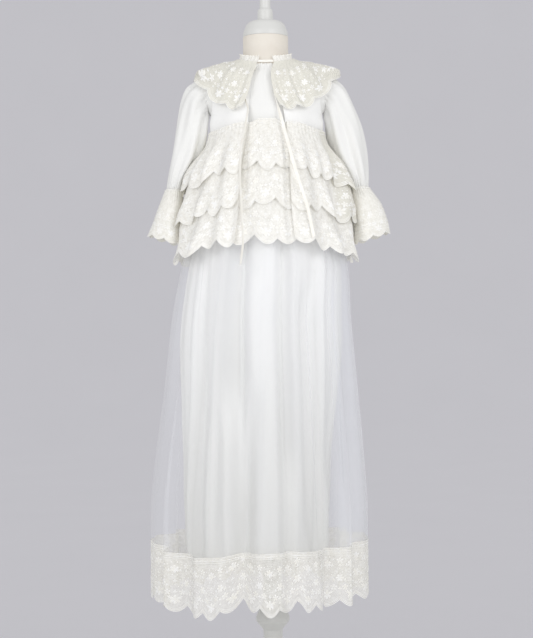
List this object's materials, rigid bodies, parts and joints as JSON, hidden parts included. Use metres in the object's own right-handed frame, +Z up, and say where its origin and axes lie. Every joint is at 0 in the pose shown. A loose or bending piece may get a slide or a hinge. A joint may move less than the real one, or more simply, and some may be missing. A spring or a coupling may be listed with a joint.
{
  "type": "christening gown on a dress form",
  "caption": "Long christening gown with a sheer gathered skirt and lace hem, under a short jacket with lace collar, cuffs and tiers, shown on a limbless child's dress form.",
  "frame": {"origin": "the middle of the stand's foot, on the floor", "axes": "+Z up; the gown's front faces -Y; +X is to the right as the front is seen"},
  "size_m": [0.4398, 0.354, 1.326],
  "materials": {
    "form_cover": "matte",
    "stand_paint": "satin paint",
    "silk_batiste": "soft, plain woven",
    "organza": "crisp and sheer",
    "embroidered_tulle": "embroidered net",
    "satin_ribbon": "satin"
  },
  "bodies": {
    "root": {"form_torso": "form_cover", "form_neck_cap": "stand_paint", "stand_finial": "stand_paint", "stand_pole": "stand_paint", "stand_base": "stand_paint", "gown_front": "silk_batiste", "gown_back": "silk_batiste", "gown_skirt_front": "organza", "gown_skirt_back": "organza", "gown_skirt_lining": "silk_batiste", "gown_hem_lace": "embroidered_tulle", "gown_tier_1": "embroidered_tulle", "gown_tier_2": "embroidered_tulle", "gown_tier_3": "embroidered_tulle", "jacket_front_left": "silk_batiste", "jacket_front_right": "silk_batiste", "jacket_back": "silk_batiste", "jacket_neckband": "embroidered_tulle", "jacket_collar": "embroidered_tulle", "jacket_tier_1": "embroidered_tulle", "jacket_tier_2": "embroidered_tulle", "jacket_tier_3": "embroidered_tulle", "sleeve_left": "silk_batiste", "sleeve_right": "silk_batiste", "cuff_left": "embroidered_tulle", "cuff_right": "embroidered_tulle", "ribbon_front": "satin_ribbon", "ribbon_tail_left": "satin_ribbon", "ribbon_tail_right": "satin_ribbon"}
  },
  "joints": []
}
